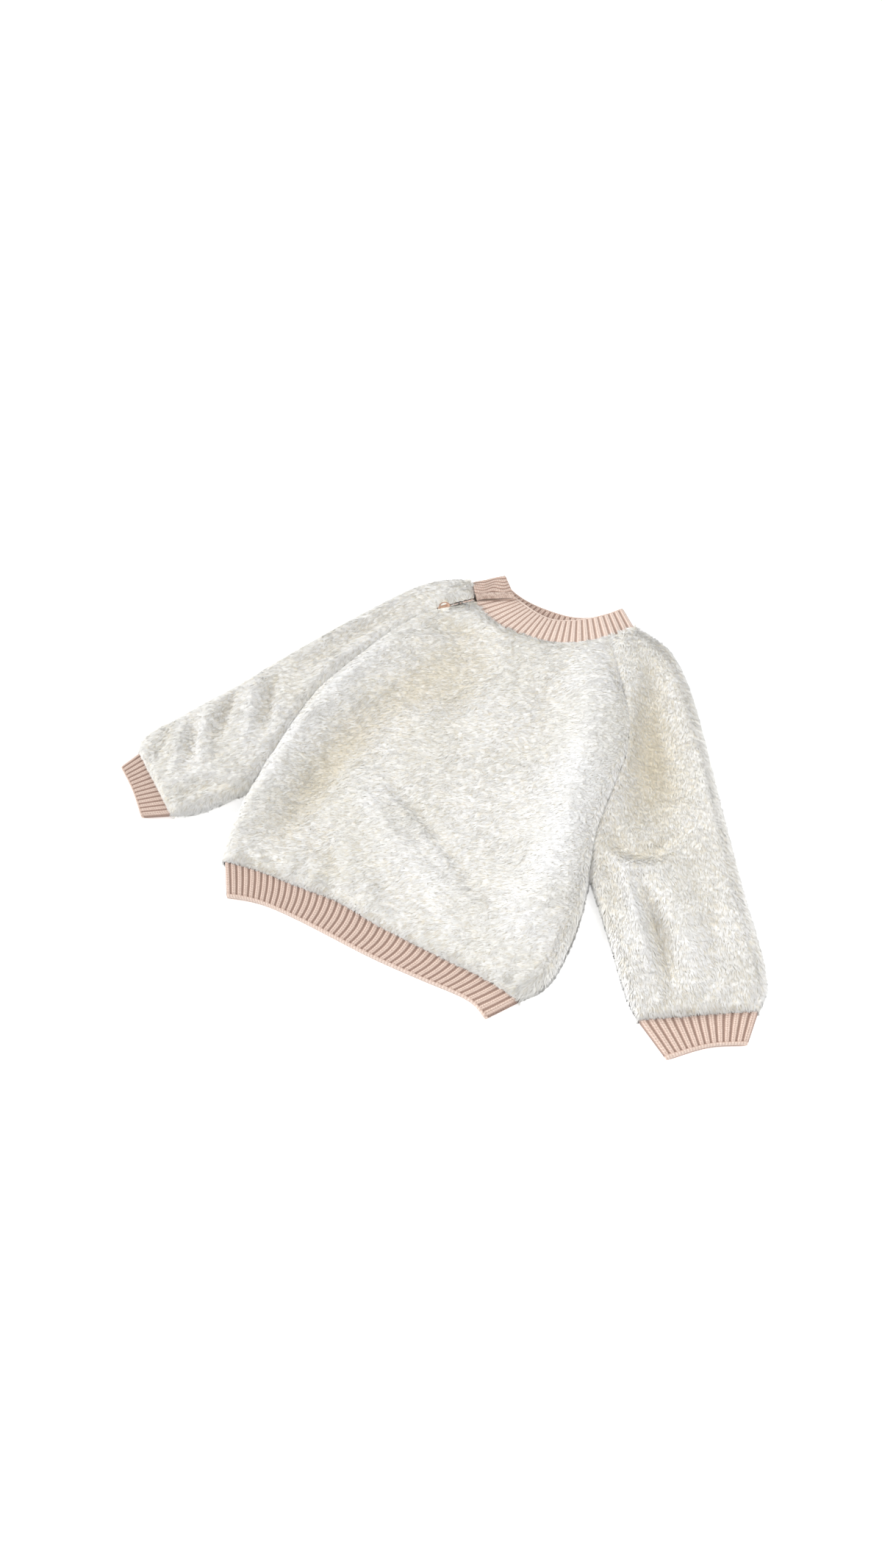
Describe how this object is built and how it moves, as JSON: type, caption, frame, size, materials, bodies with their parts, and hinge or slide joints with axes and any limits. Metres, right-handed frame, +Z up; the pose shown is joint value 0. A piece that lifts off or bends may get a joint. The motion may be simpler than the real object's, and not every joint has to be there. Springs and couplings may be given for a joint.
{
  "type": "sherpa-lined sweater",
  "caption": "Small child's raglan sweater with deep white sherpa pile outside and rib-knit neckband, cuffs and hem, lying flat with its front up; it rests on its back",
  "frame": {"origin": "middle of the footprint, on the surface that the sweater lies on", "axes": "+X from the left sleeve of the picture to the right one, +Y from the hem to the neck, +Z up out of the surface, metres"},
  "size_m": [0.605, 0.399, 0.0281],
  "materials": {
    "sherpa_front": "long soft plush pile, off-white, matt",
    "sherpa_back": "long soft plush pile, off-white, matt",
    "sherpa_sleeve_left": "long soft plush pile, off-white, matt",
    "sherpa_sleeve_right": "long soft plush pile, off-white, matt",
    "rib_hem": "one by one rib knit, dusty pink beige",
    "rib_cuff": "one by one rib knit, dusty pink beige",
    "rib_neck": "one by one rib knit, dusty pink beige",
    "rib_placket": "narrow knit edging, dusty pink beige",
    "button": "brown resin, soft gloss"
  },
  "bodies": {
    "root": {"front": "sherpa_front", "back": "sherpa_back", "sleeve_left": "sherpa_sleeve_left", "sleeve_right": "sherpa_sleeve_right", "hem_band_front": "rib_hem", "hem_band_back": "rib_hem", "cuff_left": "rib_cuff", "cuff_right": "rib_cuff", "neckband_front": "rib_neck", "neckband_back": "rib_neck", "neckband_tab": "rib_neck", "placket_edge": "rib_placket", "button": "button"}
  },
  "joints": []
}
